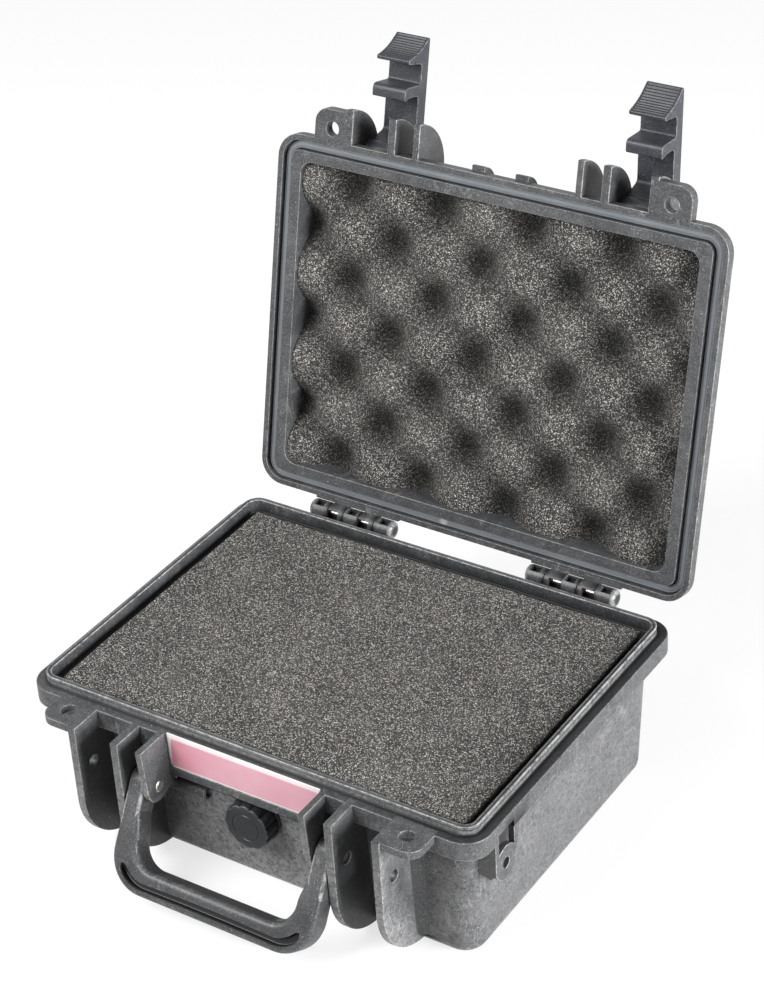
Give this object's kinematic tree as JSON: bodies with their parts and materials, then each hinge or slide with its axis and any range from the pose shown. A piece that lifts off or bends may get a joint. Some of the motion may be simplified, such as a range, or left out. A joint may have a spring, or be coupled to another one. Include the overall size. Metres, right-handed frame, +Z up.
{
  "type": "protector case",
  "caption": "Small hard protector case, standing open, with foam padding, throw latches, a swinging carry handle, hinge pins and a purge knob.",
  "frame": {"origin": "centre of the base's flat underside", "axes": "+Z up, +X along the hinges to the right of the carry handle as seen from the front, -Y towards the handle; the lid stands open"},
  "size_m": [0.27, 0.3473, 0.3382],
  "materials": {
    "case_plastic": "satin",
    "latch_plastic": "satin",
    "seal_rubber": "satin",
    "foam": "matte",
    "pin_steel": "satin",
    "knob_plastic": "satin",
    "plate": "satin"
  },
  "bodies": {
    "base": {"base_shell": "case_plastic", "foam_block": "foam", "foam_pad": "foam", "nameplate": "plate", "handle_pin_left": "pin_steel", "handle_pin_right": "pin_steel", "hinge_pin_left": "pin_steel", "hinge_pin_right": "pin_steel", "valve_body": "knob_plastic", "valve_nut": "knob_plastic", "valve_gasket": "seal_rubber"},
    "lid": {"lid_shell": "case_plastic", "lid_o_ring": "seal_rubber", "lid_foam": "foam", "latch_pin_left": "pin_steel", "latch_pin_right": "pin_steel"},
    "latch_left": {"latch_left": "latch_plastic"},
    "latch_right": {"latch_right": "latch_plastic"},
    "handle": {"handle": "case_plastic"},
    "valve_seal": {"valve_o_ring": "seal_rubber"},
    "knob": {"valve_knob": "knob_plastic"}
  },
  "joints": [
    {"name": "lid_hinge", "type": "hinge", "parent": "base", "child": "lid", "pos_m": [0, 0.10725, 0.0846], "axis": [1, 0, 0], "range_deg": [0, 103.1]},
    {"name": "latch_left_turn", "type": "hinge", "parent": "lid", "child": "latch_left", "pos_m": [0, 0.17125, 0.2789], "axis": [1, 0, 0], "range_deg": [-5, 90]},
    {"name": "latch_right_turn", "type": "hinge", "parent": "lid", "child": "latch_right", "pos_m": [0, 0.17125, 0.2789], "axis": [1, 0, 0], "range_deg": [-13.5, 81.5]},
    {"name": "handle_turn", "type": "hinge", "parent": "base", "child": "handle", "pos_m": [0, -0.1084, 0.0569], "axis": [-1, 0, 0], "range_deg": [-30, 85]},
    {"name": "valve_travel", "type": "slide", "parent": "base", "child": "valve_seal", "axis": [0, -1, 0], "range_m": [0, 0.0015]},
    {"name": "knob_turn", "type": "hinge", "parent": "valve_seal", "child": "knob", "pos_m": [0, -0.095, 0.0435], "axis": [0, -1, 0], "range_deg": [0, 360]}
  ],
  "couplings": [
    {"joint": "valve_travel", "follows": "knob_turn", "m_per_rad": 0.00023873}
  ]
}
